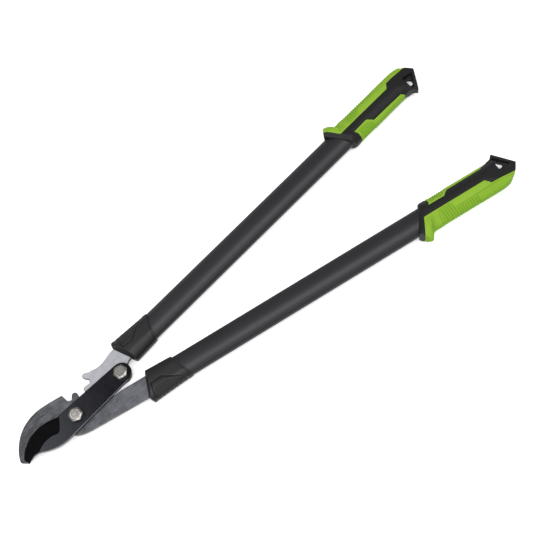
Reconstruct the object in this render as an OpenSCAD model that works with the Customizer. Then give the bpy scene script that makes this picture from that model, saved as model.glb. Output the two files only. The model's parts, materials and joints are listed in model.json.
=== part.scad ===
// Geared bypass loppers, jaws closed.
// X runs along the tool from the jaws to the grips, Y across it, Z along both pivots.
// The head is drawn about the main pivot, then the whole tool is shifted so that the
// origin is the bottom centre of its bounding box.

/* [Head] */
// Distance between the main pivot and the lever pivot
link_length = 77.6; // [75:0.2:80]
// Angle of the line between the two pivots, from X
link_angle = 6.3; // [5:0.1:8]
// Thickness of the hook and of the lever
plate_t = 6; // [5:0.5:7]
// Thickness of the cutting blade
blade_t = 4.5; // [3.5:0.5:5]
// Gap between the cutting blade and the plates under it
layer_gap = 0.1; // [0.05:0.05:0.2]
// Gap under bolt heads and over washers, where parts turn on each other
turn_gap = 0.05; // [0.03:0.01:0.1]

/* [Gears] */
// Teeth on the full circle of the hook's gear
hook_teeth = 10; // [10:1:11]
// Teeth on the full circle of the lever's gear
lever_teeth = 18; // [18:1:19]
// Pressure angle of both gears
pressure_angle = 20; // [20:0.5:22]
// Play between two teeth, along the pitch circle
backlash = 0.6; // [0.3:0.1:0.8]

/* [Bolts] */
// Radius of both pivot bolts
bolt_r = 5; // [4:0.5:5]
// Radial running clearance of the bolts
bolt_play = 0.05; // [0.03:0.01:0.08]
// Width across the flats of bolt heads and nuts
hex_af = 17; // [15:0.5:17]

/* [Handles] */
// Angle between each handle and X, jaws closed
handle_angle = 7.4; // [7:0.1:8]
// Distance of each handle's axis from the mid line, at the main pivot
handle_foot = 16.9; // [16:0.1:18]
// Width of the oval tube
tube_w = 35.5; // [34:0.5:37]
// Thickness of the oval tube
tube_h = 21; // [19:0.5:22]
// Wall of the tube
tube_wall = 1.6; // [1.2:0.1:2]
// End of the tube inside the grip, along the handle
tube_end = 620; // [600:1:622]

/* [Hidden] */
$fn = 64;

// Height of the pivot plane over the surface that the tool lies on
rest_z = 15;
// Middle of the tool's length and width, measured from the main pivot
mid_x = 285;
mid_y = 1.5;

// Levels of the layers, from the middle of the hook plate
plate_top = plate_t / 2;
blade_low = plate_top + layer_gap;
blade_top = blade_low + blade_t;
edge_t = 0.4;
washer_t = 1.6;
washer_r = 10;
washer_low = -plate_top - turn_gap - washer_t;
head_t = 6.4;
nut_t = 9;

// Pivots
P1 = [0, 0];
P2 = link_length * [cos(link_angle), sin(link_angle)];

// Gears: the module follows from the distance of the pivots
gear_m = 2 * link_length / (hook_teeth + lever_teeth);
hook_r = gear_m * hook_teeth / 2;
lever_r = gear_m * lever_teeth / 2;
addendum = 0.78 * gear_m;
dedendum = 0.98 * gear_m;
hook_pitch = 360 / hook_teeth;
lever_pitch = 360 / lever_teeth;
// A lever tooth stands this far past the line of the pivots, jaws closed
lever_phase = 3;
hook_phase = lever_phase * lever_teeth / hook_teeth;

// ---------- outline helpers ----------

function polar(c, r, a) = c + r * [cos(a), sin(a)];

function arc(c, r, a0, a1, n = 12) = [for (i = [0:n]) polar(c, r, a0 + (a1 - a0) * i / n)];

// A smooth curve through every point of p
function catmull(p0, p1, p2, p3, t) = 0.5 * (2 * p1 + (p2 - p0) * t
    + (2 * p0 - 5 * p1 + 4 * p2 - p3) * t * t + (3 * p1 - p0 - 3 * p2 + p3) * t * t * t);

function smooth(p, n = 5) = let (last = len(p) - 1) [
    for (i = [0:last - 1], k = [0:n - 1])
        catmull(p[max(i - 1, 0)], p[i], p[i + 1], p[min(i + 2, last)], k / n),
    p[last],
];

// Points of handle coordinates (along the axis, outward) in the tool's plane.
// side is 1 for the upper handle and -1 for the lower one.
function on_handle(side, p) = [
    p.x * cos(handle_angle) - p.y * sin(handle_angle),
    mid_y + side * (handle_foot + p.x * sin(handle_angle) + p.y * cos(handle_angle)),
];

// ---------- gear teeth ----------

function involute(a) = tan(a) * 180 / PI - a;

// Half of a tooth's angle at radius r
function half_tooth(teeth, r) = let (
        pitch_r = gear_m * teeth / 2,
        base_r = pitch_r * cos(pressure_angle),
        at_pitch = 90 / teeth - backlash / (4 * pitch_r) * 180 / PI
    )
    at_pitch + involute(pressure_angle) - involute(acos(min(1, base_r / r)));

// One tooth from its first root to its second, anticlockwise about c.
// The foot of a flank is radial under the base circle, and the crown is rounded.
function tooth(c, teeth, a) = let (
        pitch_r = gear_m * teeth / 2,
        base_r = pitch_r * cos(pressure_angle),
        root = pitch_r - dedendum,
        foot = max(base_r, root + 0.6),
        crown = pitch_r + addendum,
        flank = [for (i = [0:5]) foot + (crown - 0.4 - foot) * i / 5],
        top = half_tooth(teeth, crown - 0.4)
    )
    concat(
        [polar(c, root, a - half_tooth(teeth, foot) - 1.5)],
        [for (r = flank) polar(c, r, a - half_tooth(teeth, r))],
        [polar(c, crown - 0.05, a - top * 0.7), polar(c, crown, a), polar(c, crown - 0.05, a + top * 0.7)],
        [for (i = [5:-1:0]) polar(c, flank[i], a + half_tooth(teeth, flank[i]))],
        [polar(c, root, a + half_tooth(teeth, foot) + 1.5)]
    );

// ---------- shared solids ----------

// Four-arc oval, w wide and h thick, with end arcs of radius r
module oval(w, h, r) {
    end_x = w / 2 - r;
    flat_y = h / 2 - r;
    drop = (end_x * end_x - flat_y * flat_y) / (2 * flat_y);
    side_r = drop + h / 2;
    tangent_x = end_x * side_r / (side_r - r);
    intersection() {
        translate([0, -drop])
            circle(side_r, $fn = 180);
        translate([0, drop])
            circle(side_r, $fn = 180);
        square([2 * tangent_x, h + 2], center = true);
    }
    for (s = [-1, 1])
        translate([s * end_x, 0])
            circle(r);
}

// Oval bar along the handle's axis, from x0 to x1
module oval_bar(x0, x1, w, h, r) {
    translate([x0, 0, 0])
        rotate([90, 0, 90])
            linear_extrude(x1 - x0)
                oval(w, h, r);
}

module slab(z0, z1) {
    translate([0, 0, z0])
        linear_extrude(z1 - z0)
            children();
}

module bore(c, r) {
    translate([c.x, c.y, -30])
        cylinder(60, r, r);
}

// Moves a handle's own frame into the tool; the lower handle is the mirror image
module handle_frame(side) {
    mirror([0, side < 0 ? 1 : 0, 0])
        translate([0, side * mid_y + handle_foot, 0])
            rotate([0, 0, handle_angle])
                children();
}

// ---------- head ----------

tang_w = 27;
tang_end = 158;
// Room beside the tang in the collar's mouth
mouth_play = 3;
pin_x = [124, 142];
pin_r = 2.5;

module tang_holes(side) {
    for (x = pin_x)
        bore(on_handle(side, [x, 0]), pin_r + 0.05);
}

// Jaw of the hook: the back from the gear to the tip, then the inner curve
jaw_back = [
    [-2, 36.8], [-22, 39.8], [-41, 40.8], [-59, 36.4],
    [-73, 27.6], [-83, 16], [-89, 5], [-91.3, -3],
];
jaw_inner = [
    [-83.5, -9.8], [-77, -1.5], [-66, 7], [-52, 10.5],
    [-38, 7.5], [-27, -0.5], [-21.5, -10], [-19.2, -15.6],
];
// Heel of the hook, from the jaw to the straight edge of its arm
heel = [[-16, -19.2], [-10.4, -22.6], [-3, -25.2], [5.2, -27], [15.1, -28.7], [27.5, -30.7]];

module counter_blade() {
    tooth_angle = link_angle + hook_phase;
    outline = concat(
        smooth(heel),
        [on_handle(-1, [88, tang_w / 2]), on_handle(-1, [tang_end, tang_w / 2])],
        [on_handle(-1, [tang_end, -tang_w / 2]), on_handle(-1, [106, -tang_w / 2])],
        [on_handle(-1, [98, -tang_w / 2 - 1])],
        [[62, -8.6], [26, -8.8]],
        tooth(P1, hook_teeth, tooth_angle - hook_pitch / 2),
        tooth(P1, hook_teeth, tooth_angle + hook_pitch / 2),
        tooth(P1, hook_teeth, tooth_angle + hook_pitch * 3 / 2),
        [[5.3, 23.4], [3.2, 23.3], [1.2, 24.6], [-0.6, 27.4]],
        smooth(jaw_back),
        smooth(jaw_inner)
    );
    color("dimgray")
        difference() {
            slab(-plate_top, plate_top)
                polygon(outline);
            bore(P1, bolt_r + bolt_play);
            tang_holes(-1);
        }
}

// Blade: the cutting edge from heel to tip, and the inner line of its bevel
edge_line = [
    [-20.5, 15.4], [-34, 19], [-48, 20.2], [-62, 17.4],
    [-73, 11.3], [-81, 3.8], [-85.8, -5], [-82, -11.8],
];
bevel_line = [
    [-19, 12.5], [-23, 5.5], [-30, -4], [-40, -2.2],
    [-50, -2.4], [-58, -5.2], [-64, -9], [-67, -12],
];
spine_line = [[-80.5, -11.2], [-72, -8.6], [-65, -9.4], [-54, -14.8], [-41, -19], [-28, -20], [-16, -18.8]];
blade_end_r = 13.7;

module bevel_cut() {
    edge = smooth(edge_line, 4);
    inner = smooth(bevel_line, 4);
    n = len(edge);
    slope_z = blade_top - blade_low - edge_t;
    reach = 1.1;
    rows = [for (i = [0:n - 1]) let (step = edge[i] - inner[i]) [
        [inner[i].x - 0.06 * step.x, inner[i].y - 0.06 * step.y, blade_top + 0.06 * slope_z],
        [inner[i].x + reach * step.x, inner[i].y + reach * step.y, blade_top - reach * slope_z],
        [inner[i].x + reach * step.x, inner[i].y + reach * step.y, blade_top + 3],
        [inner[i].x - 0.06 * step.x, inner[i].y - 0.06 * step.y, blade_top + 3],
    ]];
    sides = [for (i = [0:n - 2], k = [0:3]) let (a = 4 * i + k, b = 4 * i + (k + 1) % 4)
        each [[a, b, b + 4], [a, b + 4, a + 4]]];
    ends = [[3, 2, 1], [3, 1, 0], [4 * n - 4, 4 * n - 3, 4 * n - 2], [4 * n - 4, 4 * n - 2, 4 * n - 1]];
    polyhedron([for (r = rows) each r], concat(sides, ends));
}

module cutting_blade() {
    outline = concat(
        smooth(edge_line),
        smooth(spine_line),
        arc(P2, blade_end_r, link_angle - 89, link_angle + 88, 16),
        [[-19, 15.2]]
    );
    color("#26262a")
        difference() {
            slab(blade_low, blade_top)
                polygon(outline);
            bevel_cut();
            bore(P1, bolt_r + bolt_play);
            bore(P2, bolt_r + bolt_play);
        }
}

// Outer edge of the lever, from the tang to its gear
lever_back = [[87.4, 44.1], [76.9, 42.3], [66.9, 38.8], [56, 37.4], [47.5, 39.2]];

module gear_lever() {
    to_p1 = link_angle + 180;
    a0 = to_p1 - lever_phase;
    root = lever_r - dedendum;
    neck_r = 12.5;
    outline = concat(
        tooth(P2, lever_teeth, a0 - 2 * lever_pitch),
        tooth(P2, lever_teeth, a0 - lever_pitch),
        tooth(P2, lever_teeth, a0),
        arc(P2, root, a0 + lever_pitch / 2, a0 + lever_pitch * 0.7, 3),
        arc(P2, neck_r, 262, 330, 8),
        smooth([[87.5, 12], [91.4, 16], [95.8, 18.1], on_handle(1, [99.5, -12.4]), on_handle(1, [105, -12.4])]),
        [on_handle(1, [111, -tang_w / 2]), on_handle(1, [tang_end, -tang_w / 2])],
        [on_handle(1, [tang_end, tang_w / 2])],
        smooth([on_handle(1, [100, tang_w / 2]), each lever_back])
    );
    color("silver")
        difference() {
            slab(-plate_top, plate_top)
                polygon(outline);
            bore(P2, bolt_r + bolt_play);
            tang_holes(1);
        }
}

// Hexagon with its outer end chamfered, standing on z = 0
module hex_body(h) {
    corner_r = hex_af / 2 / cos(30);
    intersection() {
        cylinder(h, corner_r, corner_r, $fn = 6);
        union() {
            cylinder(h - 1.4, corner_r + 1, corner_r + 1);
            translate([0, 0, h - 1.4])
                cylinder(1.4, corner_r + 0.1, hex_af / 2 - 0.7);
        }
    }
}

module bolt_at(c) {
    color("gainsboro")
        translate([c.x, c.y, 0]) {
            translate([0, 0, blade_top + turn_gap])
                difference() {
                    hex_body(head_t);
                    translate([0, 0, head_t - 0.6])
                        cylinder(1, 5.2, 5.6);
                }
            translate([0, 0, -rest_z + 0.6])
                cylinder(rest_z - 0.6 + blade_top + 1, bolt_r, bolt_r);
        }
}

module washer_at(c) {
    color("gainsboro")
        difference() {
            translate([c.x, c.y, washer_low])
                cylinder(washer_t, washer_r, washer_r);
            bore(c, bolt_r + 0.2);
        }
}

// Lock nut with a rounded collar that holds its nylon ring
module nut_at(c) {
    collar_h = 3;
    color("gainsboro")
        difference() {
            translate([c.x, c.y, washer_low])
                mirror([0, 0, 1]) {
                    hex_body(nut_t - collar_h + 1);
                    translate([0, 0, nut_t - collar_h])
                        cylinder(collar_h, 7.2, 6.4);
                }
            bore(c, bolt_r + 0.02);
        }
}

// ---------- handles ----------

tube_r = 7;
collar_front = 89;
tube_start = 112;
fit_gap = 0.1;

module tube_space(x0, x1, gap) {
    oval_bar(x0, x1, tube_w + 2 * gap, tube_h + 2 * gap, tube_r + gap);
}

// Oval bar that gives the collar one of its two tapering sides
module collar_side(turn, shift) {
    translate([105, shift, 0])
        rotate([0, 0, turn])
            oval_bar(-20, 56, 45, 27.4, 10.5);
}

// The front is slanted, and slopes from the top back edge down to the tang
module collar(side) {
    front_slant = 17.7;
    plan = [[88.8, 14.5], [93.2, 23.2], [152.7, 18.6], [138.2, -19.7], [101.8, -21.2], [98.7, -16.5]];
    profile = [
        [0, 4.4], [5.2, 13.4], [12, 13.6], [64, 12.4],
        [64, -12.4], [12, -13.6], [5.2, -13.4], [0, -4.4],
    ];
    color("#303033")
        handle_frame(side)
            difference() {
                intersection() {
                    slab(-rest_z, rest_z)
                        polygon(plan);
                    translate([93.4, 0, 0])
                        rotate([90, 0, front_slant])
                            linear_extrude(90, center = true)
                                polygon(profile);
                    collar_side(-4, -0.2);
                    collar_side(2.2, 1.4);
                }
                tube_space(tube_start - 1, 160, fit_gap);
                translate([collar_front - 5, -tang_w / 2 - mouth_play, -plate_top - fit_gap])
                    cube([tube_start - collar_front + 10, tang_w + 2 * mouth_play, plate_t + 2 * fit_gap]);
            }
}

module tube(side) {
    color("#3a3a3c")
        handle_frame(side)
            difference() {
                tube_space(tube_start, tube_end, 0);
                tube_space(tube_start - 1, tube_end + 1, -tube_wall);
                for (x = pin_x)
                    bore([x, 0], pin_r + 0.05);
            }
}

module tang_sleeve(side) {
    color("dimgray")
        handle_frame(side)
            difference() {
                tube_space(tube_start, tang_end + 6, -tube_wall - fit_gap);
                translate([tube_start - 1, -tang_w / 2 - fit_gap, -plate_top - fit_gap])
                    cube([tang_end - tube_start + 2, tang_w + 2 * fit_gap, plate_t + 2 * fit_gap]);
                for (x = pin_x)
                    bore([x, 0], pin_r + 0.05);
            }
}

module tang_pins(side) {
    color("silver")
        handle_frame(side)
            for (x = pin_x)
                translate([x, 0, -tube_h / 2 + 0.1])
                    cylinder(tube_h - 0.2, pin_r, pin_r);
}

// ---------- grips, in handle coordinates ----------

grip_w = 45;
grip_h = 30.8;
grip_r = 11;
wall_w = 39.6;
wall_h = 24.4;
ring_front = 500;

// Whole grip from above: ring, guard, palm side, slanted end, finger side
guard_side = [[503, 21.2], [508, 28.6], [512, 32], [515, 31.4], [518, 27.8], [522, 24.4], [529, 22.4]];
palm_side = [[600, 21.9], [632, 21.8], [641, 20.2], [650, 16.6], [659, 9.8]];
finger_side = [
    [644.4, -27.4], [642.8, -24.8], [640, -22.8], [635, -21.6],
    [628, -21.1], [600, -21], [560, -22.2], [528, -22.5],
];
grip_plan = concat(
    [[ring_front, 18]],
    smooth(guard_side, 4),
    smooth(palm_side, 4),
    [[666.9, -0.4], [646, -28.2]],
    smooth(finger_side, 4),
    [[525.2, -22.1], [522.8, -20.6], [521.2, -17.6]]
);

// Border of the palm pad on the faces, then a frame outside the grip
palm_region = [[504, 26], [517.4, 2.2], [613, 2.2], [620, 9.7], [675, 11], [675, 40], [502, 40]];
finger_region = [
    [535.5, -40], [535.5, -14], [532.5, -9.3], [557.5, -8.8],
    [566, -15.9], [621, -16.4], [627.8, -21.5], [628, -40],
];

// The pommel gets thinner towards its end
grip_profile = [[498, 15], [622, 15], [668, 6.5], [668, -6.5], [622, -15], [498, -15]];

hang_hole = [646, -10.5];
hang_hole_r = 4.2;
web_t = 5;

// Hang hole, in a triangular recess on both faces
module pommel_hole() {
    bore(hang_hole, hang_hole_r);
    for (s = [-1, 1])
        slab(s > 0 ? web_t / 2 : -20, s > 0 ? 20 : -web_t / 2)
            polygon([[660, -2.8], [641.3, -0.7], [640.6, -22], [643.5, -22]]);
}

module grip_volume() {
    intersection() {
        slab(-rest_z, rest_z)
            polygon(grip_plan);
        rotate([90, 0, 0])
            linear_extrude(80, center = true)
                polygon(grip_profile);
        union() {
            oval_bar(ring_front - 1, 672, grip_w, grip_h, grip_r);
            translate([0, 7.5, 0])
                oval_bar(ring_front - 1, 521, 50, 31, 8);
            slab(-6.5, 6.5)
                polygon([[636, -33], [672, -33], [672, 9], [636, 9]]);
        }
    }
}

module pad(side, region) {
    color("yellowgreen")
        handle_frame(side)
            difference() {
                intersection() {
                    grip_volume();
                    slab(-20, 20)
                        polygon(region);
                }
                oval_bar(ring_front - 2, 668, wall_w, wall_h, 9);
            }
}

module grip_core(side) {
    color("#2d2d2d")
        handle_frame(side)
            difference() {
                grip_volume();
                for (region = [palm_region, finger_region])
                    difference() {
                        slab(-20, 20)
                            polygon(region);
                        oval_bar(ring_front - 2, 668, wall_w - 0.1, wall_h - 0.1, 9);
                    }
                tube_space(ring_front - 5, tube_end + 1, fit_gap);
                pommel_hole();
            }
}

// ---------- assembly ----------

module in_place() {
    translate([-mid_x, -mid_y, rest_z])
        children();
}

in_place() counter_blade();
in_place() cutting_blade();
in_place() gear_lever();
in_place() bolt_at(P1);  // pivot_bolt
in_place() washer_at(P1);  // pivot_washer
in_place() nut_at(P1);  // pivot_nut
in_place() bolt_at(P2);  // link_bolt
in_place() washer_at(P2);  // link_washer
in_place() nut_at(P2);  // link_nut
in_place() collar(-1);  // lower_collar
in_place() tube(-1);  // lower_tube
in_place() tang_sleeve(-1);  // lower_tang_sleeve
in_place() tang_pins(-1);  // lower_tang_pins
in_place() grip_core(-1);  // lower_grip_core
in_place() pad(-1, palm_region);  // lower_palm_pad
in_place() pad(-1, finger_region);  // lower_finger_pad
in_place() collar(1);  // upper_collar
in_place() tube(1);  // upper_tube
in_place() tang_sleeve(1);  // upper_tang_sleeve
in_place() tang_pins(1);  // upper_tang_pins
in_place() grip_core(1);  // upper_grip_core
in_place() pad(1, palm_region);  // upper_palm_pad
in_place() pad(1, finger_region);  // upper_finger_pad
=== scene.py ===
"""Looks of the geared bypass loppers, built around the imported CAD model.

Inside the carving functions a length is in millimetres, in a handle's own frame: x along its axis from
the main pivot, y outward to the palm side, z up from the pivot plane. place() turns such points into
metres in the row frame, for the upper handle (side 1) or its mirror image, the lower one (side -1).
"""

import json
import math

import bmesh
import bpy
import numpy as np
from mathutils import Matrix, Vector


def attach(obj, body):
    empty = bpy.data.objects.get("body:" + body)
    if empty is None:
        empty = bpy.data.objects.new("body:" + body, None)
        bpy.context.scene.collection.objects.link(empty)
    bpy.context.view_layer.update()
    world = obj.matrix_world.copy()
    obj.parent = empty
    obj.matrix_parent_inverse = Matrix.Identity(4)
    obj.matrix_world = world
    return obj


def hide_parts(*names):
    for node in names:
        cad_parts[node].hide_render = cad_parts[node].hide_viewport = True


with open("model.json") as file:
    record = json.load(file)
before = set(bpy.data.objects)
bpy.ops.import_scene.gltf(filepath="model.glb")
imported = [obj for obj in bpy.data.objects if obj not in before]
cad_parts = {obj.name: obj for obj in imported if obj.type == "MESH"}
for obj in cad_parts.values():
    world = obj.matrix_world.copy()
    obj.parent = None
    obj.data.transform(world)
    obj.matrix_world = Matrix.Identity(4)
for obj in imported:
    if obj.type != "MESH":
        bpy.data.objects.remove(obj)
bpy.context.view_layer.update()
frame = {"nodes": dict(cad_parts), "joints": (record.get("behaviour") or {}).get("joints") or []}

MM = 0.001
JOINTS = {joint["name"]: joint for joint in frame["joints"]}
PIVOT = Vector(JOINTS["blade_pivot"]["pos_m"])
LINK = Vector(JOINTS["handle_pivot"]["pos_m"])
# Body and name of the handle on each side
BODIES = {1: "upper_half", -1: "lower_half"}
NAMES = {1: "upper", -1: "lower"}

# Handles: angle from X, and distance of their axes from the mid line at the main pivot
HANDLE_ANGLE = math.radians(7.4)
HANDLE_FOOT = 16.9
# Socket for the tube: width, height and radius of its narrow ends, and where the sockets of the collar
# and of the grip reach to
TUBE_BORE = (35.7, 21.2, 7.1)
COLLAR_SOCKET_START, GRIP_SOCKET_END = 111, 621

# Spacing of the carving grid, along x, y and z
STEP = ((0.6, 0.5, 0.5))
# What a piece without a border gives its material as the distance inside one, in millimetres
NO_BORDER = 9
# Edges that turn by more than this are shown sharp
CARVED_SHARP = math.radians(50)
TURNED_SHARP = math.radians(32)


# ---------- shapes as distances, negative inside ----------

def polygon(px, py, points):
    """Distance to a polygon, over any two grid axes."""
    away = np.inf
    inside = False
    for (ax, ay), (bx, by) in zip(points, points[1:] + points[:1]):
        ex, ey = bx - ax, by - ay
        along = np.clip(((px - ax) * ex + (py - ay) * ey) / (ex * ex + ey * ey), 0, 1)
        away = np.minimum(away, np.hypot(px - ax - along * ex, py - ay - along * ey))
        if ay != by:
            spans = (ay > py) != (by > py)
            inside = inside ^ (spans & (px < ax + (py - ay) * ex / ey))
    return np.where(inside, -away, away)


def oval(py, pz, width, height, end_r):
    """Distance to a four-arc oval, width across y and height across z."""
    end = width / 2 - end_r
    rise = height / 2 - end_r
    drop = (end * end - rise * rise) / (2 * rise)
    big_r = drop + height / 2
    y, z = np.abs(py), np.abs(pz)
    at_end = y * drop > (z + drop) * end
    return np.where(at_end, np.hypot(y - end, z) - end_r, np.hypot(y, z + drop) - big_r)


def both(a, b, r=0.0):
    """What is in a and in b, with its edge rounded to radius r."""
    sharp = np.maximum(a, b)
    if r == 0:
        return sharp
    return np.minimum(-r, sharp) + np.hypot(np.maximum(a + r, 0), np.maximum(b + r, 0))


def either(a, b, r=0.0):
    """What is in a or in b, with a fillet of radius r between them."""
    return -both(-a, -b, r)


def without(a, b, r=0.0):
    """a with b cut out of it."""
    return both(a, -b, r)


def fade(value, start, end):
    """0 before start, 1 after end, and smooth between them."""
    t = np.clip((value - start) / (end - start), 0, 1)
    return t * t * (3 - 2 * t)


def beyond(px, py, a, b):
    """Distance past the line from a to b, positive on its left."""
    ex, ey = b[0] - a[0], b[1] - a[1]
    return (ex * (py - a[1]) - ey * (px - a[0])) / math.hypot(ex, ey)


def smooth(points, n):
    """A curve through every point, as a list with n points to each span."""
    curve = []
    last = len(points) - 1
    p = [np.array(point, float) for point in points]
    for i in range(last):
        before, a, b, after = p[max(i - 1, 0)], p[i], p[i + 1], p[min(i + 2, last)]
        for t in np.arange(n) / n:
            q = 2 * a + (b - before) * t + (2 * before - 5 * a + 4 * b - after) * t * t
            q = (q + (3 * a - before - 3 * b + after) * t ** 3) / 2
            curve.append((float(q[0]), float(q[1])))
    return curve + [tuple(points[last])]


def channel(distance, depth, full, gone):
    """Depth of a channel along the line where distance is 0: full up to one distance, gone at the other."""
    return depth * (1 - fade(np.abs(distance), full, gone))


def sunk(panel, depth):
    """Depth of a panel that is let in by depth, with a soft edge."""
    return depth * fade(-panel, -0.2, 0.4)


def ribs(u, pitch, depth):
    """Depth of the valleys between ribs, 0 on their crests."""
    wave = 0.5 - 0.5 * np.cos(2 * math.pi * u / pitch)
    return depth * wave ** 1.5


# ---------- from a distance field to a mesh ----------

def carve(field, low, high):
    """Points and quads of the zero surface of field(x, y, z), one point to each cell that it crosses."""
    # The grid reaches at least two cells past the box on every side
    axes = [np.arange(a - 2 * s, b + 3 * s, s, dtype=np.float32) for a, b, s in zip(low, high, STEP)]
    x, y, z = np.meshgrid(*axes, indexing="ij", sparse=True)
    shape = tuple(len(axis) for axis in axes)
    values = np.ascontiguousarray(np.broadcast_to(field(x, y, z), shape), dtype=np.float32)
    inside = values < 0
    corners = [np.array((i, j, k)) for i in (0, 1) for j in (0, 1) for k in (0, 1)]
    count = np.zeros([n - 1 for n in shape], np.int8)
    for c in corners:
        count += inside[tuple(slice(o, o + n - 1) for o, n in zip(c, shape))]
    cells = np.argwhere((count > 0) & (count < 8))
    number = np.full(count.shape, -1, np.int32)
    number[tuple(cells.T)] = np.arange(len(cells))
    total = np.zeros((len(cells), 3))
    hits = np.zeros(len(cells))
    for axis in range(3):
        for c in corners:
            if c[axis] == 1:
                continue
            start = cells + c
            end = start.copy()
            end[:, axis] += 1
            a, b = values[tuple(start.T)], values[tuple(end.T)]
            cross = np.nonzero((a < 0) != (b < 0))[0]
            point = start[cross].astype(float)
            point[:, axis] += a[cross] / (a[cross] - b[cross])
            total[cross] += point
            hits[cross] += 1
    first = np.array([axis[0] for axis in axes])
    points = first + total / hits[:, None] * np.array(STEP)
    quads = [edge_quads(inside, number, axis) for axis in range(3)]
    return points, np.concatenate(quads)


def edge_quads(inside, number, axis):
    """One quad round each grid edge along axis that the surface crosses, wound outward."""
    near = np.take(inside, range(inside.shape[axis] - 1), axis)
    far = np.take(inside, range(1, inside.shape[axis]), axis)
    edges = np.argwhere(near != far)
    u, v = np.eye(3, dtype=int)[(axis + 1) % 3], np.eye(3, dtype=int)[(axis + 2) % 3]
    ring = [number[tuple((edges - step).T)] for step in (u + v, v, 0 * u, u)]
    quads = np.stack(ring, 1)
    leaving = near[tuple(edges.T)]
    quads[~leaving] = quads[~leaving][:, ::-1]
    return quads


def mesh_of(name, points, faces):
    mesh = bpy.data.meshes.new(name)
    mesh.from_pydata([tuple(p) for p in points], [], [tuple(f) for f in faces])
    mesh.update()
    return mesh


def added(name, data):
    """A new object in the scene that shows data."""
    obj = bpy.data.objects.new(name, data)
    bpy.context.scene.collection.objects.link(obj)
    return obj


def thinned(points, quads, ratio):
    """The same surface with fewer faces where it is flat."""
    rough = added("rough", mesh_of("rough", points * MM, quads))
    modifier = rough.modifiers.new("thin", "DECIMATE")
    modifier.ratio = ratio
    graph = bpy.context.evaluated_depsgraph_get()
    mesh = rough.evaluated_get(graph).to_mesh()
    found = np.array([v.co for v in mesh.vertices]) / MM
    faces = [tuple(face.vertices) for face in mesh.polygons]
    bpy.data.objects.remove(rough)
    return found, faces


def place(points, side):
    """Points of a handle's frame, in millimetres, as metres in the row frame."""
    x, y, z = np.asarray(points, float).T
    cos, sin = math.cos(HANDLE_ANGLE), math.sin(HANDLE_ANGLE)
    across = HANDLE_FOOT + x * sin + y * cos
    return np.stack([PIVOT.x + (x * cos - y * sin) * MM, side * across * MM, PIVOT.z + z * MM], 1)


def keep_value(mesh, name, values):
    """Keeps a number for each point of the mesh, for its material to read."""
    kept = mesh.attributes.new(name, "FLOAT", "POINT")
    kept.data.foreach_set("value", values.astype(np.float32))


def piece(name, points, faces, body, material, sharp):
    """A new piece of the object, in the row frame, that rides on a body."""
    obj = added(name, mesh_of(name, points, faces))
    obj.data.shade_smooth()
    obj.data.set_sharp_from_angle(angle=sharp)
    obj.data.materials.append(material)
    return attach(obj, body)


def handle_pair(node, field, box, material, relief=None, border=None, ratio=0.5):
    """A skin carved once, and set on both handles in place of their CAD nodes.

    Its material can read how deep the relief is at a point, and how far the point lies inside the
    border. ratio is the share of its faces that thinning leaves.
    """
    points, quads = carve(field, *box)
    points, faces = thinned(points, quads, ratio)
    x, y, z = points.T
    depth = relief(x, y) if relief else 0 * x
    inset = -polygon(x, y, border) if border else 0 * x + NO_BORDER
    for side in (1, -1):
        turned = faces if side > 0 else [face[::-1] for face in faces]
        name = f"{NAMES[side]}_{node}_skin"
        obj = piece(name, place(points, side), turned, BODIES[side], material, CARVED_SHARP)
        keep_value(obj.data, "depth", depth)
        keep_value(obj.data, "inset", inset)
        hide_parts(f"{NAMES[side]}_{node}")


# ---------- materials ----------

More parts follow.
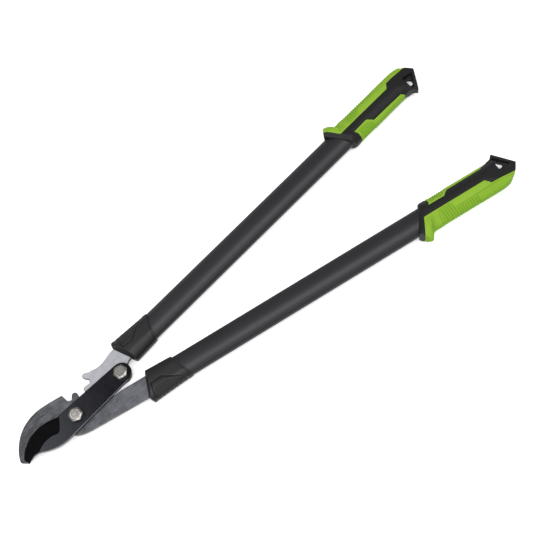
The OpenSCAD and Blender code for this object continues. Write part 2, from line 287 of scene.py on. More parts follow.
class Nodes:
    """Short names for the nodes that the materials use."""

    def __init__(self, name):
        self.material = bpy.data.materials.new(name)
        self.material.use_nodes = True
        self.tree = self.material.node_tree
        self.shader = self.tree.nodes["Principled BSDF"]
        self.place = self.tree.nodes.new("ShaderNodeTexCoord").outputs["Object"]

    def feed(self, socket, value):
        """Gives the socket a number, a vector, an opaque colour or another node's output."""
        if isinstance(value, bpy.types.NodeSocket):
            self.tree.links.new(value, socket)
        elif socket.type == "RGBA":
            socket.default_value = (*value, 1)
        else:
            socket.default_value = value

    def set(self, name, value):
        """Feeds a socket of the material's shader."""
        self.feed(self.shader.inputs[name], value)

    def node(self, kind, inputs=()):
        """A new node, with its inputs fed by name or place."""
        node = self.tree.nodes.new("ShaderNode" + kind)
        for name, value in dict(inputs).items():
            self.feed(node.inputs[name], value)
        return node

    def stretched(self, scale, turn):
        """The object's coordinates, turned about Z and scaled along each axis."""
        inputs = {"Vector": self.place, "Scale": scale, "Rotation": (0, 0, turn)}
        return self.node("Mapping", inputs).outputs["Vector"]

    def noise(self, scale, detail, rough=0.5, where=None):
        """Soft noise from 0 to 1, with about scale waves to a metre."""
        inputs = {"Vector": where or self.place, "Scale": scale, "Detail": detail, "Roughness": rough}
        return self.node("TexNoise", inputs).outputs["Fac"]

    def specks(self, scale):
        """Distance to the nearest of many scattered points."""
        inputs = {"Vector": self.place, "Scale": scale}
        return self.node("TexVoronoi", inputs).outputs["Distance"]

    def span(self, value, start, end, low=0.0, high=1.0):
        """value from start to end, turned into low to high."""
        inputs = {"Value": value, "From Min": start, "From Max": end, "To Min": low, "To Max": high}
        return self.node("MapRange", inputs).outputs["Result"]

    def mix(self, share, a, b):
        """Colour a where share is 0 and colour b where it is 1."""
        node = self.node("Mix")
        node.data_type = "RGBA"
        # Each data type has its own sockets A and B, so the ones for colours go by place
        for socket, value in (("Factor", share), (6, a), (7, b)):
            self.feed(node.inputs[socket], value)
        return node.outputs[2]

    def calc(self, a, b=0.0, operation="ADD"):
        """The sum of a and b, or what another math operation makes of them."""
        node = self.node("Math", {0: a, 1: b})
        node.operation = operation
        return node.outputs[0]

    def bump(self, height, depth, strength):
        """Relief of a height map, depth in metres."""
        inputs = {"Strength": strength, "Distance": depth, "Height": height}
        self.set("Normal", self.node("Bump", inputs).outputs["Normal"])

    def kept(self, name):
        """A number kept for each point of a carved piece, in millimetres."""
        node = self.node("Attribute")
        node.attribute_name = name
        return node.outputs["Fac"]

    def axis(self, vector, name):
        """One coordinate of a vector."""
        return self.node("SeparateXYZ", {"Vector": vector}).outputs[name]

    def level(self):
        """1 on faces that lie flat and 0 on upright ones."""
        normal = self.node("NewGeometry").outputs["Normal"]
        return self.calc(self.axis(normal, "Z"), operation="ABSOLUTE")

    def edges(self):
        """More than 0.5 on outer edges, 0.5 on flats and less in creases."""
        return self.node("NewGeometry").outputs["Pointiness"]


def shaded(colour, share):
    """The colour made lighter or darker."""
    return tuple(c * share for c in colour)


# X of the hook's darkest and lightest ends, in metres: painted shade at the jaws, painted light away from
# them
DARK_X, LIGHT_X = -0.37, -0.19


def steel(name, dark, light, roughness, streak_turn, metallic, drift=0.0):
    """Cold rolled plate with drawn streaks, soft blotches and fine pits.

    With a drift, painted shade makes it darker at the jaws and painted light lighter away from them.
    """
    m = Nodes(name)
    streaks = m.noise(1.0, 4, 0.6, m.stretched((45, 900, 900), streak_turn))
    blotches = m.noise(95, 5, 0.62)
    pits = m.noise(900, 2)
    pitting = m.calc(m.calc(pits, 0.5, "SUBTRACT"), 0.7, "MULTIPLY")
    share = m.calc(m.calc(m.calc(streaks, blotches), pitting), 0.175)
    # Painted shade and light: the share falls toward the jaws and rises away from them
    if drift:
        share = m.calc(share, m.span(m.axis(m.place, "X"), DARK_X, LIGHT_X, -drift, drift))
    m.set("Base Color", m.mix(m.span(share, 0.85, 1.5), dark, light))
    m.set("Metallic", metallic)
    m.set("Roughness", m.span(share, 0.8, 1.5, roughness + 0.08, roughness - 0.05))
    m.bump(m.calc(streaks, pits), 0.00006, 0.5)
    return m.material


def coating(name, base, sheen, roughness, gloss):
    """Thin baked coating on steel, with pinhead speckle and a faint bloom."""
    m = Nodes(name)
    speckle = m.span(m.noise(1500, 2), 0.60, 0.72)
    bloom = m.noise(35, 3)
    colour = m.mix(m.span(bloom, 0.35, 0.7), base, sheen)
    m.set("Base Color", m.mix(speckle, colour, shaded(sheen, 2.2)))
    m.set("Roughness", m.span(bloom, 0.3, 0.7, roughness - 0.04, roughness + 0.06))
    m.set("Specular IOR Level", gloss)
    m.set("Specular Tint", (0.86, 0.88, 1.0))
    m.bump(m.noise(1100, 3), 0.00004, 0.6)
    return m.material


def powder_coat(name, base, gloss):
    """Satin powder coat with an orange peel relief."""
    m = Nodes(name)
    peel = m.noise(620, 2)
    shade = m.noise(14, 2)
    m.set("Base Color", m.mix(m.span(shade, 0.3, 0.7), base, shaded(base, 1.12)))
    m.set("Roughness", m.span(peel, 0.3, 0.7, 0.36, 0.44))
    m.set("Specular IOR Level", gloss)
    m.bump(peel, 0.00007, 0.6)
    return m.material


# Depth at which a groove's painted shade is full, and width of the painted highlight rim along a
# parting line, in millimetres
GROOVE_DEPTH, HIGHLIGHT_RIM = 1.4, 0.9
# Relief of a moulded grain, in metres
GRAIN = 0.00006


def moulded(name, base, edge, groove_shade, side, roughness, gloss):
    """Moulded plastic or rubber, with fine grain and a slight drift of colour.

    Its outer edges and parting lines take the colour edge, a painted highlight; its grooves, rib
    valleys and sunk panels the groove colour, painted shade; and its upright sides the colour side,
    painted shade.
    """
    m = Nodes(name)
    drift = m.mix(m.span(m.noise(22, 3), 0.3, 0.7), shaded(base, 0.95), shaded(base, 1.04))
    # Painted shade: upright faces are mixed toward the side colour
    colour = m.mix(m.span(m.level(), 0.85, 0.25), drift, side)
    # Painted shade: the deeper the relief, the nearer the colour comes to the groove colour
    colour = m.mix(m.span(m.kept("depth"), 0.05, GROOVE_DEPTH), colour, groove_shade)
    # Painted highlight: outer edges, found by pointiness, take the edge colour
    colour = m.mix(m.span(m.edges(), 0.52, 0.60), colour, edge)
    # Painted highlight: a rim along each parting line takes the edge colour
    m.set("Base Color", m.mix(m.span(m.kept("inset"), HIGHLIGHT_RIM, HIGHLIGHT_RIM * 0.3), colour, edge))
    m.set("Roughness", m.span(m.noise(260, 3), 0.3, 0.7, roughness - 0.05, roughness + 0.05))
    m.set("Specular IOR Level", gloss)
    m.bump(m.calc(m.noise(1900, 2), m.specks(1300)), GRAIN, 0.6)
    return m.material


# The hook's drift paints shade at its jaws and light toward its handle
HOOK_STEEL = steel(
    "hook_plate", dark=(0.019, 0.0195, 0.019), light=(0.120, 0.123, 0.143),
    roughness=0.46, streak_turn=-HANDLE_ANGLE, metallic=0.3, drift=0.20,
)
LEVER_STEEL = steel(
    "lever_plate", dark=(0.275, 0.275, 0.30), light=(0.425, 0.425, 0.462),
    roughness=0.42, streak_turn=HANDLE_ANGLE, metallic=0.3,
)
BOLT_STEEL = steel(
    "nickel", dark=(0.20, 0.190, 0.182), light=(0.30, 0.285, 0.272),
    roughness=0.24, streak_turn=0.6, metallic=0.75,
)
EDGE_STEEL = steel(
    "sheared_edge", dark=(0.035, 0.035, 0.037), light=(0.10, 0.10, 0.105),
    roughness=0.45, streak_turn=0.0, metallic=0.4,
)
BLADE_COATING = coating(
    "blade_coating", base=(0.0026, 0.0026, 0.0033), sheen=(0.0044, 0.0044, 0.0056),
    roughness=0.17, gloss=0.22,
)
BEVEL_COATING = coating(
    "bevel_coating", base=(0.0010, 0.0010, 0.0010), sheen=(0.0018, 0.0018, 0.0018),
    roughness=0.45, gloss=0.06,
)
# Painted highlight: light grey for the broken edges along the blade's spine
COATED_EDGE = coating(
    "coated_edge_highlight", base=(0.15, 0.15, 0.16), sheen=(0.22, 0.22, 0.24),
    roughness=0.30, gloss=0.5,
)
TUBE_PAINT = powder_coat("tube_paint", (0.0195, 0.0195, 0.022), 0.26)
SLEEVE_PLASTIC = powder_coat("sleeve_plastic", (0.05, 0.05, 0.052), 0.2)
# Each moulded finish gives its base colour, the edge colour as painted highlight, and the groove and side
# colours as painted shade
COLLAR_PLASTIC = moulded(
    "collar_plastic", base=(0.0175, 0.0175, 0.0185), edge=(0.040, 0.040, 0.041),
    groove_shade=(0.009, 0.009, 0.009), side=(0.010, 0.010, 0.010), roughness=0.42, gloss=0.22,
)
GRIP_BLACK = moulded(
    "grip_black", base=(0.0130, 0.0130, 0.0135), edge=(0.034, 0.034, 0.036),
    groove_shade=(0.008, 0.008, 0.008), side=(0.011, 0.011, 0.0115), roughness=0.50, gloss=0.18,
)
GRIP_GREEN = moulded(
    "grip_green", base=(0.238, 0.406, 0.037), edge=(0.325, 0.545, 0.062),
    groove_shade=(0.162, 0.322, 0.020), side=(0.168, 0.338, 0.020), roughness=0.55, gloss=0.05,
)


# ---------- grips ----------

# Outline of the grip from above: the guard, the palm side, the pommel and the finger side
GRIP_FRONT, GRIP_END = 500, 666.9
GUARD_SIDE = [(503, 21.2), (508, 28.6), (512, 32), (515, 31.4), (518, 27.8), (522, 24.4), (529, 22.4)]
PALM_SIDE = [(600, 21.9), (632, 21.8), (641, 20.2), (650, 16.6), (659, 9.8)]
# Corners of the pommel's slanted end, to the palm and the finger side
POMMEL_PALM, POMMEL_FINGER = (GRIP_END, -0.4), (646, -28.2)
FINGER_SIDE = [
    (644.4, -27.4), (642.8, -24.8), (640, -22.8), (635, -21.6),
    (628, -21.1), (600, -21), (560, -22.2), (528, -22.5),
]
GRIP_PLAN = (
    [(GRIP_FRONT, 18)] + smooth(GUARD_SIDE, 4) + smooth(PALM_SIDE, 4) + [POMMEL_PALM, POMMEL_FINGER]
    + smooth(FINGER_SIDE, 4) + [(525.2, -22.1), (522.8, -20.6), (521.2, -17.6)]
)
# The same from the side: level along the bar, then down to the pommel's end
GRIP_PROFILE = [(490, 15), (622, 15), (668, 6.5), (668, -6.5), (622, -15), (490, -15)]
# Opposite corners of the boxes that hold the grip and its pads
GRIP_LOW, GRIP_HIGH = (GRIP_FRONT, -29, -15), (GRIP_END, 32.5, 15)
PALM_LOW = (GRIP_FRONT, 0, -15)
FINGER_LOW, FINGER_HIGH = (522, -28, -15), (632, -7, 15)

# Sections of the bar and of the guard: width, height and radius of the narrow ends
BAR_OVAL = (45, 30.8, 11)
GUARD_OVAL = (50, 31, 8)
# How far the guard lies to the palm side, and how far it goes on behind its crease
GUARD_Y, GUARD_BACK = 7.5, 4
# Thin flare of the pommel: half its thickness, where it starts, and how far it goes to the palm side
FLARE_HALF_T, FLARE_START, FLARE_Y = 6.5, 634, 9

# Parting lines of the pads on the faces, and the panels set into their sides
PALM_BORDER = [(504, 26), (517.4, 2.2), (613, 2.2), (620, 9.7), (690, 11), (690, 50), (490, 50)]
FINGER_BORDER = [
    (535.5, -60), (535.5, -14), (532.5, -9.3), (557.5, -8.8),
    (566, -15.9), (621, -16.4), (627.8, -21.5), (628, -60),
]
PALM_PANEL = [
    (539, 60), (535.7, 15.5), (536.4, 10.6), (538.7, 5), (556.4, 3.9), (560.7, 12.2),
    (565.4, 13.2), (618, 11.9), (651, 13), (690, 9), (690, 60),
]
FINGER_PANEL = [
    (538.2, -60), (538.2, -15.4), (536.2, -11.8), (556.3, -11.2), (564.2, -18.4), (564.2, -60),
]
# Slanted end of the grip, front line of the ring, and the guard's crease; beyond() is positive
# on the side of each that faces the jaws
END_LINE = (POMMEL_FINGER, POMMEL_PALM)
RING_LINE = ((521.5, -18), (500.5, 18))
CREASE_LINE = ((518.5, 5.5), (513.1, 29.2))
# Half thickness at the slanted end and at the ring's front, and how fast each grows away from there
END_HALF_T, END_SLOPE = 6.6, 0.35
RING_HALF_T, RING_SLOPE = 11.2, 0.5

PAD_T = 2.4
PAD_EDGE_R = 0.8
PARTING_GAP = 0.22
# Gap between a pad and its bed in the core
BED_PLAY = 0.05
# The core lies this much lower than the pads. The step comes in behind the ring's front line, and goes
# out along x before the pommel.
CORE_SINK = 0.5
SINK_IN, SINK_OUT = (8, 10.5), (622, 632)
# Ribs across the pads: pitch, x of a crest at y 0, and slant
PALM_RIBS = (3.9, 539, -0.16)
FINGER_RIBS = (3.5, 537, 0.12)
RIB_DEPTH = 1.0
# Where the palm pad's ribs come in and go out, along x
PALM_RIBS_IN, PALM_RIBS_OUT = (538, 542), (594, 598)
# Hollow behind the guard: its depth, and where it comes in and goes out behind the crease
SCOOP_DEPTH = 1.0
SCOOP_IN, SCOOP_OUT = (0, 2.5), (3, 20)

# Well in each face of the pommel: its outline from above at WELL_TOP, and the slant of its walls
WELL_PLAN = [(660.5, -2.7), (641, -0.6), (640.2, -22), (644.2, -22.6)]
WELL_TOP, WELL_SLANT = 9, 0.22
WEB_HALF_T = 2.5
# Hole through the web, which stays this far inside the well's outline
HOLE, HOLE_R = (646.2, -10.4), 5.2
HOLE_INSET = 0.7


def grip_body(x, y, z):
    """The whole grip's outer surface, without parting lines."""
    tall = np.abs(z)
    bar = oval(y, z, *BAR_OVAL)
    guard_end = -beyond(x, y, *CREASE_LINE) - GUARD_BACK
    guard = both(oval(y - GUARD_Y, z, *GUARD_OVAL), guard_end, 1.0)
    flare = both(tall - FLARE_HALF_T, both(FLARE_START - x, y - FLARE_Y))
    body = either(either(bar, guard, 7.0), flare, 4.0)
    body = both(body, polygon(x, y, GRIP_PLAN), 1.3)
    # 0.94 and 0.89 keep the growth of a sloping face's distance near one millimetre per millimetre
    end_slope = (tall - END_HALF_T - END_SLOPE * beyond(x, y, *END_LINE)) * 0.94
    body = both(body, both(polygon(x, z, GRIP_PROFILE), end_slope), 0.9)
    ring_slope = (tall - RING_HALF_T - RING_SLOPE * -beyond(x, y, *RING_LINE)) * 0.89
    return both(body, ring_slope, 1.2)


def scoop(x, y):
    """Depth of the hollow behind the guard's crease, deepest just behind it."""
    behind = -beyond(x, y, *CREASE_LINE)
    along = fade(behind, *SCOOP_IN) * (1 - fade(behind, *SCOOP_OUT))
    return SCOOP_DEPTH * along * fade(y, 1.5, 9)


def slanted_ribs(x, y, pitch, crest, slant):
    """Depth of the valleys between the ribs across a pad."""
    return ribs(x + slant * y - crest, pitch, RIB_DEPTH)


def palm_relief(x, y):
    """Depth of the palm pad's panel, its groove and ribs, and of the hollow behind the guard."""
    panel = polygon(x, y, PALM_PANEL)
    step = sunk(panel, 0.4) + channel(panel, 0.7, 0.15, 1.1)
    ribbed = fade(-panel, 0.8, 2.0) * fade(x, *PALM_RIBS_IN) * (1 - fade(x, *PALM_RIBS_OUT))
    return scoop(x, y) + step + ribbed * slanted_ribs(x, y, *PALM_RIBS)


def finger_relief(x, y):
    """Depth of the finger pad's panel and its ribs."""
    panel = polygon(x, y, FINGER_PANEL)
    return sunk(panel, 0.35) + fade(-panel, 0.6, 1.6) * slanted_ribs(x, y, *FINGER_RIBS)


def pad(x, y, z, relief, border):
    """Shell of the grip inside a parting line, with relief in its outer surface."""
    skin = grip_body(x, y, z)
    face = both(skin + relief(x, y), polygon(x, y, border) + PARTING_GAP, PAD_EDGE_R)
    return without(face, skin + PAD_T)


def palm_pad(x, y, z):
    return pad(x, y, z, palm_relief, PALM_BORDER)


def finger_pad(x, y, z):
    return pad(x, y, z, finger_relief, FINGER_BORDER)


def hang_recess(x, y, z):
    """Triangular well on both faces of the pommel, and the hole through its web."""
    tall = np.abs(z)
    outline = polygon(x, y, WELL_PLAN)
    well = both(outline - WELL_SLANT * (tall - WELL_TOP), WEB_HALF_T - tall, 1.2)
    hole = both(np.hypot(x - HOLE[0], y - HOLE[1]) - HOLE_R, outline + HOLE_INSET, 1.0)
    return either(well, hole, 0.8)


def grip_core(x, y, z):
    """The black body, with beds for the pads, the socket for the tube and the hang hole."""
    skin = grip_body(x, y, z)
    pads = np.minimum(polygon(x, y, PALM_BORDER), polygon(x, y, FINGER_BORDER))
    bed = without(pads - PARTING_GAP, skin + PAD_T + BED_PLAY)
    sunken = fade(-beyond(x, y, *RING_LINE), *SINK_IN) * (1 - fade(x, *SINK_OUT))
    core = without(skin + CORE_SINK * sunken, bed, 0.35)
    core = without(core, both(oval(y, z, *TUBE_BORE), x - GRIP_SOCKET_END))
    return without(core, hang_recess(x, y, z), 0.7)


# ---------- collars ----------

# Outline of the collar from above, and of the panel let into its face
COLLAR_PLAN = [
    (88.8, 14.5), (93.2, 23.2), (152.7, 18.6), (138.2, -19.7), (101.8, -21.2), (98.7, -16.5),
]
COLLAR_PANEL = [
    (94.5, 40), (98.2, 15), (100.6, 2.3), (116, 1), (123, 5.3), (137.3, 13.5), (147.5, 20.5), (151, 40),
]
# Front and rear edges; beyond() is positive in front of them
COLLAR_FRONT = ((98.7, -16.5), (88.8, 14.5))
COLLAR_REAR = ((138.2, -19.7), (152.7, 18.6))
# Opposite corners of the box that holds the collar
COLLAR_LOW, COLLAR_HIGH = (86, -22.5, -14), (155, 23.4, 14)

# Section of the collar: width, height and radius of the narrow ends
COLLAR_OVAL = (44, 27.4, 10.5)
# Half its width at COLLAR_X to the palm and the finger side, and what each loses per millimetre of x
COLLAR_X = 105
COLLAR_PALM, COLLAR_PALM_TAPER = 22.3, 0.077
COLLAR_FINGER, COLLAR_FINGER_TAPER = 21.1, 0.041
# Half thickness at its front edge, how fast it grows behind it, and the half thickness of its top
FRONT_HALF_T, FRONT_SLOPE = 4.4, 1.73
TOP_HALF_T, TOP_SLOPE = 13.5, -0.02
# Mouth for the tang, through the front
MOUTH_HALF_W, MOUTH_HALF_H, MOUTH_END = 16.5, 3.1, 122
# Groove along the rear edge, this far in front of it
REAR_GROOVE = 1.5
# Fine ridges on the panel: pitch, depth and slant
RIDGE_PITCH, RIDGE_DEPTH, RIDGE_SLANT = 2.4, 0.6, 0.45


def collar_skin(x, y, z):
    """The collar's outer surface, without its panel and grooves."""
    tall = np.abs(z)
    palm = COLLAR_PALM - COLLAR_PALM_TAPER * (x - COLLAR_X)
    finger = COLLAR_FINGER - COLLAR_FINGER_TAPER * (x - COLLAR_X)
    half = np.where(y > 0, palm, finger)
    body = oval(y * COLLAR_OVAL[0] / 2 / half, z, *COLLAR_OVAL)
    behind = -beyond(x, y, *COLLAR_FRONT)
    front = both(tall - FRONT_HALF_T - FRONT_SLOPE * behind, tall - TOP_HALF_T - TOP_SLOPE * behind)
    # Halved, the steep front's distance grows by about one millimetre per millimetre
    body = both(body, both(front * 0.5, tall - (TOP_HALF_T + 0.1), 0.2), 0.5)
    return both(body, polygon(x, y, COLLAR_PLAN), 0.6)


def collar_relief(x, y):
    """Depth of the panel on the collar's face, its fine ridges, and the groove along the rear edge."""
    panel = polygon(x, y, COLLAR_PANEL)
    recess = sunk(panel, 0.35) + channel(panel, 0.7, 0.2, 1.0)
    ridged = fade(-panel, 1.5, 4) * fade(y, 6, 10) * ribs(y + RIDGE_SLANT * x, RIDGE_PITCH, RIDGE_DEPTH)
    return recess + ridged + channel(beyond(x, y, *COLLAR_REAR) - REAR_GROOVE, 0.4, 0.3, 1.1)


def collar_body(x, y, z):
    """The whole collar, with the socket for the tube and the mouth for the tang."""
    body = collar_skin(x, y, z) + collar_relief(x, y)
    body = without(body, both(oval(y, z, *TUBE_BORE), COLLAR_SOCKET_START - x), 0.3)
    mouth = both(np.abs(y) - MOUTH_HALF_W, both(np.abs(z) - MOUTH_HALF_H, x - MOUTH_END))
    return without(body, mouth, 0.4)


# ---------- bolts and nuts, round and hexagonal rings about an axis ----------

# Points to a ring
TURNS = 96
# Radius of the smallest ring, which closes a face at its middle
MIDDLE_R = 0.01
HEX_FLATS = 17.0
# Share of a corner's radius that is left by easing it
CORNER_LEFT = 0.985
# Radius of the flat face inside the chamfer, and the chamfer's slope
FACE_R = 6.7
CHAMFER_SLOPE = math.tan(math.radians(26))
BOLT_R = 5.0
# Heights are from the pivot plane
HEAD_LOW = 7.65
HEAD_T = 6.4
# Round seat under the head
SEAT_R, SEAT_T = 7.4, 0.3
BOLT_END = -14.4
WASHER_LOW = -4.65
NUT_T = 9.0
NUT_HEX_T = 6.0
# Radius of the nut's hole, outside the thread
NUT_HOLE_R = BOLT_R + 0.1
THREAD_PITCH = 1.5
THREAD_DEPTH = 0.375
CREST_R = BOLT_R - 0.06


def hexagon(angle):
    """Radius of the hexagon in a direction, with its corners eased."""
    turn = (angle + math.pi / 6) % (math.pi / 3) - math.pi / 6
    return np.minimum(HEX_FLATS / 2 / np.cos(turn), HEX_FLATS / 2 / math.cos(math.pi / 6) * CORNER_LEFT)


def turned_mesh(name, centre, rings, body, material, spin):
    """A closed skin through rings of (radius, height), numbers or functions of the angle.

    It ends in a face at each end, or in none where the last ring is the first one again.
    """
    angles = np.arange(TURNS) * 2 * math.pi / TURNS
    points = []
    for radius, height in rings:
        r = radius(angles) if callable(radius) else np.full(TURNS, float(radius))
        h = height(angles) if callable(height) else np.full(TURNS, float(height))
        points.append(np.stack([r * np.cos(angles + spin), r * np.sin(angles + spin), h], 1))
    points = np.concatenate(points) * MM + np.array(centre)
    faces = []
    for ring in range(len(rings) - 1):
        for i in range(TURNS):
            j = (i + 1) % TURNS
            low, high = ring * TURNS, (ring + 1) * TURNS
            faces.append((low + i, high + i, high + j, low + j))
    if rings[0] != rings[-1]:
        faces.append(tuple(range(TURNS)))
        faces.append(tuple(range(len(points) - 1, len(points) - 1 - TURNS, -1)))
    return piece(name, points, faces, body, material, TURNED_SHARP)


def chamfer(top, sense=1):
    """Rings down a hexagon's chamfer, from its flat face at height top; sense -1 faces down."""
    def radius(share):
        return lambda angle: FACE_R + (hexagon(angle) - FACE_R) * share

    def height(share):
        return lambda angle: top - sense * (hexagon(angle) - FACE_R) * share * CHAMFER_SLOPE

    return [(radius(share), height(share)) for share in (0, 0.15, 0.35, 0.6, 0.85, 1.0)]


def thread(height):
    """A ring of the bolt's thread, at its height."""
    def radius(angle):
        turn = (height / THREAD_PITCH + angle / (2 * math.pi)) % 1
        return CREST_R - 2 * THREAD_DEPTH * np.abs(turn - 0.5)
    return radius, height


def bolt(node, centre, body, face, spin):
    """Hexagon bolt: face lists the rings of its top, from the middle outward."""
    top = HEAD_LOW + HEAD_T
    seat = HEAD_LOW + SEAT_T
    rings = [(MIDDLE_R, top + face[0][1])] + [(r, top + h) for r, h in face]
    rings += chamfer(top)
    # Down the hexagon's sides, eased at their foot, and in over the round seat
    rings += [(hexagon, HEAD_LOW + 0.7), (lambda angle: hexagon(angle) * 0.97, seat)]
    rings += [(SEAT_R + 0.1, seat), (SEAT_R, HEAD_LOW)]
    # Down the shank, from the fillet under the head to the end of the thread
    rings += [(BOLT_R + 0.3, HEAD_LOW), (BOLT_R, HEAD_LOW - 0.3), (BOLT_R, WASHER_LOW + 0.6)]
    rings += [thread(float(h)) for h in np.arange(WASHER_LOW, BOLT_END + 0.6, -THREAD_PITCH / 6)]
    rings += [(BOLT_R - 0.8, BOLT_END), (MIDDLE_R, BOLT_END)]
    obj = turned_mesh(node + "_turned", centre, rings[::-1], body, BOLT_STEEL, spin)
    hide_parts(node)


def nut(node, centre, body, spin):
    """Lock nut under the tool, with the collar that holds its nylon ring."""
    top = WASHER_LOW - 0.05
    low = WASHER_LOW - NUT_T
    shoulder = WASHER_LOW - NUT_HEX_T
    rings = [(NUT_HOLE_R, top), (hexagon, top)]
    rings += chamfer(shoulder, -1)[::-1]
    # Down the collar, which is rolled in at its end, and back up the hole
    rings += [(7.0, shoulder), (6.8, low + 0.9), (6.3, low + 0.2), (5.9, low), (5.6, low + 0.5)]
    rings += [(NUT_HOLE_R, low + 0.5), (NUT_HOLE_R, top)]
    obj = turned_mesh(node + "_turned", centre, rings, body, BOLT_STEEL, spin)
    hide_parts(node)


# ---------- plates of the head ----------

# Places in a plate's list of materials: flat faces, broken edges, and slopes ground into the plate
FLAT, BROKEN, GROUND = 0, 1, 2
# Edges that turn by more than BREAK_TURN are broken, and those under SMOOTH_TURN don't show
BREAK_TURN = math.radians(35)
SMOOTH_TURN = math.radians(18)
# A face whose normal rises by more than FLAT_RISE is flat, and by less than WALL_RISE a wall
FLAT_RISE, WALL_RISE = 0.998, 0.3
# Points of the CAD mesh closer than this, in metres, are one, and faces this near one plane are joined
SAME_POINT = 2e-6
SAME_PLANE = math.radians(0.4)


def plate(node, body, materials, width, walls, breaks=None, keeps_edge=None):
    """The CAD plate with its edges broken to a width, and its materials set face by face.

    walls is the place of its walls' material. breaks picks the sharp edges that are broken, or else all
    are, and the last argument the places where a broken edge shows its own material, or else it does
    everywhere; on the blade that material is a painted highlight.
    """
    source = bmesh.new()
    source.from_mesh(frame["nodes"][node].data)
    bmesh.ops.remove_doubles(source, verts=source.verts, dist=SAME_POINT)
    bmesh.ops.dissolve_limit(source, angle_limit=SAME_PLANE, verts=source.verts, edges=source.edges)
    source.normal_update()
    edges = [e for e in source.edges if e.is_manifold and e.calc_face_angle() > BREAK_TURN]
    if breaks:
        edges = [e for e in edges if breaks(e)]
    bmesh.ops.bevel(source, geom=edges, offset=width * MM, offset_type="OFFSET", segments=2, profile=0.5,
                    affect="EDGES", clamp_overlap=False, material=BROKEN)
    source.normal_update()
    for face in source.faces:
        face.smooth = True
        if face.material_index == BROKEN:
            if keeps_edge and not keeps_edge(face.calc_center_median()):
                face.material_index = FLAT
        elif WALL_RISE < face.normal.z < FLAT_RISE:
            face.material_index = min(GROUND, len(materials) - 1)
        elif abs(face.normal.z) < WALL_RISE:
            face.material_index = walls
    for edge in source.edges:
        ground = [face.material_index == GROUND for face in edge.link_faces]
        soft = edge.is_manifold and edge.calc_face_angle() < SMOOTH_TURN
        edge.smooth = all(ground) or (soft and not any(ground))
    obj = added(node + "_plate", bpy.data.meshes.new(node + "_plate"))
    source.to_mesh(obj.data)
    source.free()
    for material in materials:
        obj.data.materials.append(material)
    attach(obj, body)
    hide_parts(node)


def off_the_bevel(edge):
    """An edge of the cutting blade that isn't part of its ground bevel."""
    return all(v.co.x > PIVOT.x - 16 * MM or v.co.y < PIVOT.y + 2 * MM for v in edge.verts)


def on_spine(point):
    """A point on the blade's back, away from its cutting edge."""
    return point.y < PIVOT.y - 5 * MM


# ---------- build ----------

def build_grips():
    core_box = GRIP_LOW, GRIP_HIGH
    palm_box = PALM_LOW, GRIP_HIGH
    finger_box = FINGER_LOW, FINGER_HIGH
    handle_pair("grip_core", grip_core, core_box, GRIP_BLACK, ratio=0.4)
    handle_pair("palm_pad", palm_pad, palm_box, GRIP_GREEN, palm_relief, PALM_BORDER)
    handle_pair("finger_pad", finger_pad, finger_box, GRIP_GREEN, finger_relief, FINGER_BORDER)


def build_collars():
    box = COLLAR_LOW, COLLAR_HIGH
    handle_pair("collar", collar_body, box, COLLAR_PLASTIC, collar_relief)


# Width of the broken edges of the bare plates and of the coated one
BARE_EDGE, COATED_EDGE_W = 0.7, 0.4
# Rings of the bolt heads' tops, (radius, height): a raised ring round a dimple, and a shallow dish
RINGED_FACE = [(2.6, -0.35), (3.0, -0.6), (4.1, -0.6), (4.6, 0.0), (6.5, 0.0)]
PLAIN_FACE = [(4.9, -0.25), (5.3, 0.0), (6.5, 0.0)]


def build_head():
    plate("counter_blade", "lower_half", [HOOK_STEEL, EDGE_STEEL], BARE_EDGE, BROKEN)
    plate("gear_lever", "upper_half", [LEVER_STEEL, EDGE_STEEL], BARE_EDGE, BROKEN)
    # Broken edges along the blade's spine are painted light grey, a painted highlight; the rest stay black
    finishes = [BLADE_COATING, COATED_EDGE, BEVEL_COATING]
    plate("cutting_blade", "blade", finishes, COATED_EDGE_W, FLAT, off_the_bevel, on_spine)
    bolt("pivot_bolt", PIVOT, "lower_half", RINGED_FACE, math.radians(8))
    bolt("link_bolt", LINK, "blade", PLAIN_FACE, math.radians(20))
    nut("pivot_nut", PIVOT, "lower_half", math.radians(15))
    nut("link_nut", LINK, "blade", math.radians(40))


def paint(node, material):
    """Gives a CAD node that stays its finish."""
    mesh = frame["nodes"][node].data
    mesh.materials.clear()
    mesh.materials.append(material)


def build_cad_finishes():
    """Finishes of the CAD nodes that stay as they are."""
    for name in NAMES.values():
        paint(f"{name}_tube", TUBE_PAINT)
        paint(f"{name}_tang_sleeve", SLEEVE_PLASTIC)
        paint(f"{name}_tang_pins", BOLT_STEEL)
    for node in ("pivot_washer", "link_washer"):
        paint(node, BOLT_STEEL)


build_grips()
build_collars()
build_head()
build_cad_finishes()


# ---------- camera, floor and light ----------

# The camera looks down at the tool: tilt from straight above, and heading of the side it stands on
CAMERA_AIM = Vector((0.0285, 0.0024, PIVOT.z))
CAMERA_DISTANCE = 1.206
CAMERA_TILT = math.radians(24)
CAMERA_HEADING = math.radians(-109.93)
# Direction on the floor that stands upright in the picture
PICTURE_UP = math.radians(52.07)
LENS_MM, SENSOR_MM = 60.8, 36.0


def facing(location, aim, up):
    """World matrix of an object at location that looks at aim."""
    back = (location - aim).normalized()
    right = up.cross(back).normalized()
    turn = Matrix((right, back.cross(right), back)).transposed()
    return Matrix.Translation(location) @ turn.to_4x4()


def build_camera():
    data = bpy.data.cameras.new("camera")
    data.lens, data.sensor_width = LENS_MM, SENSOR_MM
    obj = added("camera", data)
    out = math.sin(CAMERA_TILT)
    heading = out * math.cos(CAMERA_HEADING), out * math.sin(CAMERA_HEADING)
    to_camera = Vector((*heading, math.cos(CAMERA_TILT)))
    up = Vector((math.cos(PICTURE_UP), math.sin(PICTURE_UP), 0))
    obj.matrix_world = facing(CAMERA_AIM + to_camera * CAMERA_DISTANCE, CAMERA_AIM, up)
    bpy.context.scene.camera = obj


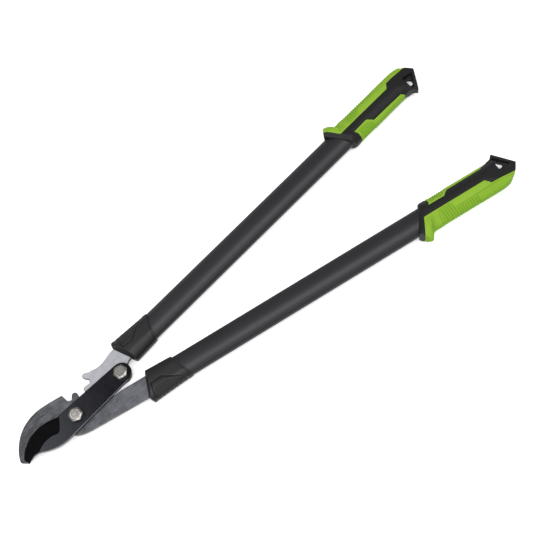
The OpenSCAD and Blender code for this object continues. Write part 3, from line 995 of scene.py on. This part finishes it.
# Light of the lit table that the tool lies on
FLOOR_GLOW = 0.4
# Half the floor's width, and its height just under the tool, in metres
FLOOR_HALF, FLOOR_Z = 6.0, -0.0005


def build_floor():
    m = Nodes("floor")
    m.set("Base Color", m.mix(m.span(m.noise(3, 2), 0.3, 0.7), (0.90, 0.90, 0.90), (0.92, 0.92, 0.92)))
    m.set("Roughness", 0.9)
    m.set("Specular IOR Level", 0.1)
    m.set("Emission Color", (1, 1, 1))
    m.set("Emission Strength", FLOOR_GLOW)
    corners = [(x * FLOOR_HALF, y * FLOOR_HALF, FLOOR_Z) for x, y in ((-1, -1), (1, -1), (1, 1), (-1, 1))]
    obj = added("floor", mesh_of("floor", corners, [(0, 1, 2, 3)]))
    obj.data.materials.append(m.material)


WORLD_STRENGTH = 0.32
# Direction that each softbox's height lies along, as near as its aim allows
SOFTBOX_UP = Vector((0, 1, 0.01))
# Softboxes: place, point that each looks at, width and height, all in metres, and watts
SOFTBOXES = {
    "key": ((0.2, -0.65, 2.4), (0.1, 0, 0), (3.0, 1.0), 50),
    "jaws": ((-1.1, 1.0, 2.4), (-0.35, 0, 0), (0.9, 1.2), 15),
    "edges": ((-1.75, -0.35, 2.2), (-0.3, 0, 0), (0.8, 2.0), 10),
    "bolts": ((-0.8, -1.2, 2.3), (-0.35, 0, 0), (0.7, 0.5), 6),
}


def softbox(name, location, aim, size, watts):
    """A rectangular light that shines at aim."""
    data = bpy.data.lights.new(name, "AREA")
    data.shape = "RECTANGLE"
    data.size, data.size_y = size
    data.energy = watts
    obj = added(name, data)
    obj.matrix_world = facing(Vector(location), Vector(aim), SOFTBOX_UP)


def build_light():
    world = bpy.data.worlds.new("studio")
    world.use_nodes = True
    background = world.node_tree.nodes["Background"]
    background.inputs["Color"].default_value = (1, 1, 1, 1)
    background.inputs["Strength"].default_value = WORLD_STRENGTH
    bpy.context.scene.world = world
    for name, settings in SOFTBOXES.items():
        softbox(name, *settings)
    bpy.context.scene.view_settings.view_transform = "Standard"


build_camera()
build_floor()
build_light()
